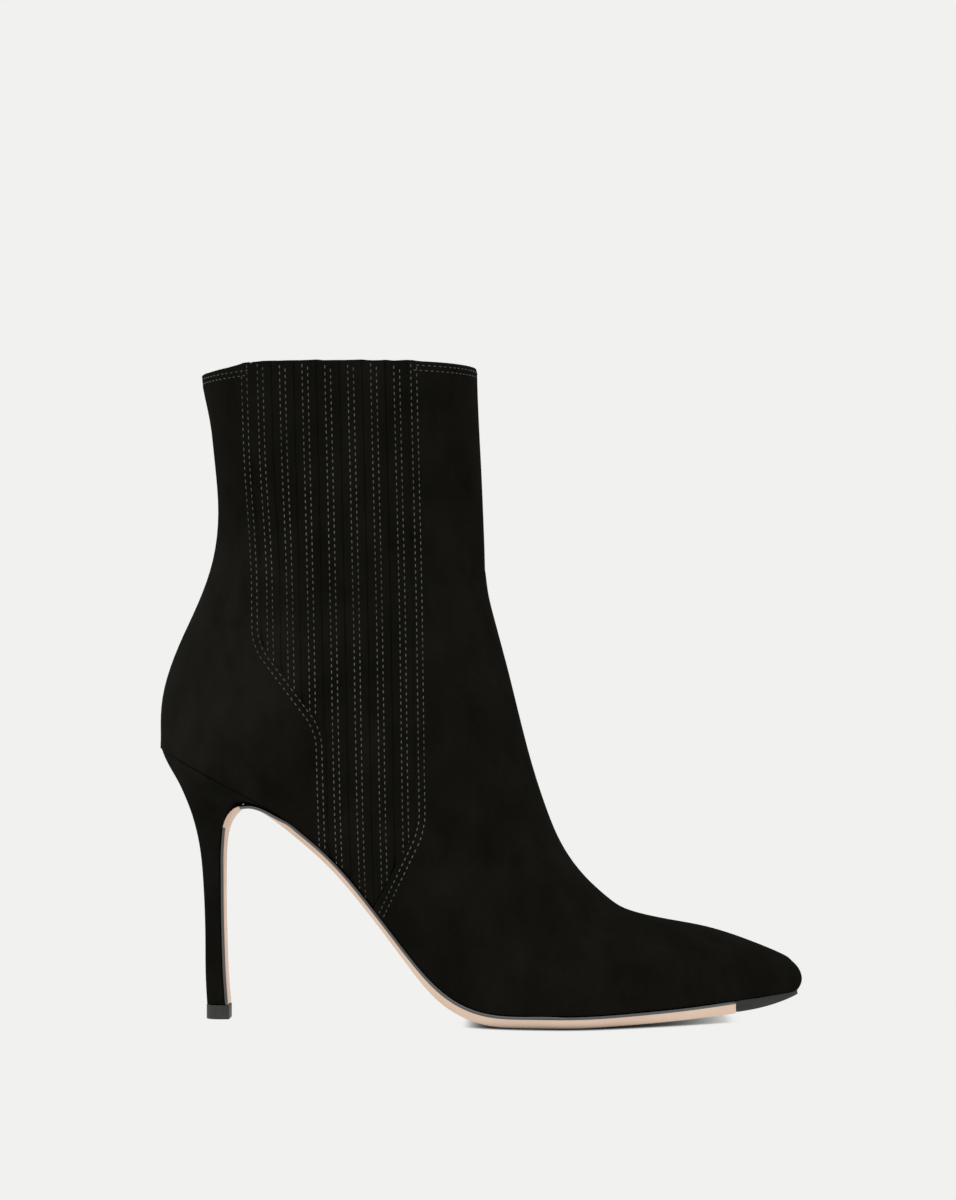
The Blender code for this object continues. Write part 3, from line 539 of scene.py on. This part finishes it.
edge_paint, shader, place = new_finish("black edge paint", Specular_IOR_Level=0.8, Coat_Weight=1.0, Coat_Roughness=0.12)
brushed = place.noise(1.2 * MM, 2.0, 0.5, (4.0, 1.0, 1.0))
paint(
    shader,
    Base_Color=brushed.between((0.006, 0.006, 0.0065), (0.012, 0.012, 0.013)),
    Roughness=0.28 + 0.12 * brushed,
    Normal=brushed.bump(0.02 * MM),
)

# Where the sole lies against upper and heel it is a near-black matt: painted shade that hides where the parts meet.
cement_dark_as_shade = new_finish("cement painted dark as shade", Base_Color=(0.006, 0.006, 0.005, 1.0), Roughness=1.0, Specular_IOR_Level=0.0)[0]

skin = copy_of("outsole")
trimmed = {face for face in skin.faces if abs(face.normal.y) > 0.8}
cemented = patch_from(skin, (0.02, 0.0, 0.2), (0, 0, -1)) | patch_from(skin, (-0.3, 0.0, 0.04), (1, 0, 0))
for face in skin.faces:
    face.material_index = 1 if face in trimmed else 2 if face in cemented else 0
crease = skin.edges.layers.float.new("crease_edge")
for edge in skin.edges:
    if len({face in trimmed for face in edge.link_faces}) == 2 or edge.calc_face_angle() > math.radians(SHARP):
        edge[crease] = 0.95
outsole = rounded(new_piece("outsole_leather", skin, [sole_leather, edge_paint, cement_dark_as_shade]), 2)
EDGE_PROUD = 0.25 * MM  # the painted edge stands that far out from under the suede
on_edge = set()
for polygon in outsole.data.polygons:
    if polygon.material_index == 1:
        on_edge.update(polygon.vertices)
for n in on_edge:
    corner = outsole.data.vertices[n].co
    corner.y += math.copysign(EDGE_PROUD, corner.y)
outsole.data.shade_smooth()
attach(outsole, "root")
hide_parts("outsole")

# Toe tip ---------------------------------------------------------------------------------------------------
# A thin black rubber piece let into the point of the sole, where it wears first. It is moulded, with a fine grain.

def rubber(name, dark, light):
    """Moulded black rubber, dull and a little scuffed along its length."""
    finish, shader, place = new_finish(name, Specular_IOR_Level=0.35)
    moulded = place.noise(0.8 * MM, 3.0)
    scuffs = place.noise(3 * MM, 3.0, 0.6, (2.5, 1.0, 1.0))
    paint(
        shader,
        Base_Color=(moulded * 0.5 + scuffs * 0.5).within(0.3, 0.7).between(dark, light),
        Roughness=0.48 + 0.2 * moulded,
        Normal=moulded.bump(0.04 * MM),
    )
    return finish


def creased(skin, bend, amount):
    """Keeps a skin's sharp edges crisp when it is rounded."""
    crease = skin.edges.layers.float.new("crease_edge")
    for edge in sharp_edges(skin, bend):
        edge[crease] = amount


toe_rubber = rubber("rubber of the toe", (0.012, 0.013, 0.012), (0.024, 0.026, 0.024))

skin = copy_of("toe_tip")
creased(skin, SHARP, 0.85)
toe_tip = rounded(new_piece("toe_tip_rubber", skin, [toe_rubber]), 2)
toe_tip.data.shade_smooth()
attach(toe_tip, "root")
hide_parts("toe_tip")

# Heel ------------------------------------------------------------------------------------------------------
# A moulded stiletto heel, covered in the same suede with the seam hidden under the flap. It is pinned and cemented
# under the seat of the upper.

skin = copy_of("heel")
creased(skin, 40, 0.85)
heel = rounded(new_piece("heel_suede", skin, [suede("suede of the heel")]), 2)
heel.data.shade_smooth()
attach(heel, "root")
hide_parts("heel")

# Heel tip --------------------------------------------------------------------------------------------------
# The top piece that the heel stands on: hard black rubber on a steel pin, ground flush with the heel's foot.

worn_rubber = rubber("rubber of the heel", (0.021, 0.021, 0.019), (0.034, 0.034, 0.032))

skin = copy_of("heel_tip")
bevelled(skin, 0.2 * MM)
heel_tip = rounded(new_piece("heel_tip_rubber", skin, [worn_rubber]), 2, 0.2 * MM)
heel_tip.data.shade_smooth()
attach(heel_tip, "root")
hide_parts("heel_tip")

# Sock ------------------------------------------------------------------------------------------------------
# Nude lining leather cemented over the insole board, from the seat to the toe.

skin = copy_of("insole")
creased(skin, 40, 0.8)
sock = rounded(new_piece("sock_leather", skin, [lining_leather]), 2, 0.2 * MM)
sock.data.shade_smooth()
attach(sock, "root")
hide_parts("insole")

# Floor, light and camera -----------------------------------------------------------------------------------
# A plain pale sweep that glows evenly, with a contact shadow painted into its glow, under soft, even studio light,
# with the camera square to the outer side of the bootie.

sheet = bmesh.new()
bmesh.ops.create_circle(sheet, cap_ends=True, segments=96, radius=9.0)
floor_paint, shader, place = new_finish("pale floor", Specular_IOR_Level=0.0, Roughness=1.0, Base_Color=(0, 0, 0, 1.0))
CONTACT_SHADOW = 4.8 * MM  # how high above the floor a piece still darkens it
# The floor's glow is darkened by occlusion close under the bootie: a painted contact shadow.
painted_contact_shadow = place.node("ShaderNodeAmbientOcclusion", {"samples": 16}, {"Distance": CONTACT_SHADOW}, out=1)
paint(shader, Emission_Color=painted_contact_shadow.within(0.0, 0.6).between((0.0, 0.0, 0.0), (0.88, 0.88, 0.8642)))
shader.inputs["Emission Strength"].default_value = 1.0
floor = new_piece("floor", sheet, [floor_paint])

world = bpy.data.worlds.new("studio")
bpy.context.scene.world = world
world.use_nodes = True
sky = world.node_tree.nodes["Background"]
sky.inputs["Color"].default_value = (1.0, 1.0, 0.982, 1.0)
sky.inputs["Strength"].default_value = 0.88

for name, turn, angle, strength in (("key", (38, -22, 0), 40, 0.55), ("fill", (30, 40, 0), 60, 0.25)):
    lamp = bpy.data.lights.new(name, "SUN")
    lamp.energy = strength
    lamp.angle = math.radians(angle)
    light = bpy.data.objects.new(name, lamp)
    light.rotation_euler = [math.radians(a) for a in turn]
    bpy.context.scene.collection.objects.link(light)

CAMERA_AIM = -1.0 * MM  # along the bootie
CAMERA_DISTANCE = 1.100
CAMERA_TURN = math.radians(1.4)
CAMERA_HEIGHT = 0.125
CAMERA_TILT = math.atan2(27, 1100)

lens = bpy.data.cameras.new("camera")
lens.lens = 90.75
lens.clip_start, lens.clip_end = 0.05, 50
camera = bpy.data.objects.new("camera", lens)
camera.location = (
    CAMERA_AIM + CAMERA_DISTANCE * math.sin(CAMERA_TURN),
    -CAMERA_DISTANCE * math.cos(CAMERA_TURN),
    CAMERA_HEIGHT,
)
camera.rotation_euler = (math.radians(90) + CAMERA_TILT, 0, CAMERA_TURN)
bpy.context.scene.collection.objects.link(camera)
bpy.context.scene.camera = camera
bpy.context.scene.view_settings.view_transform = "Standard"
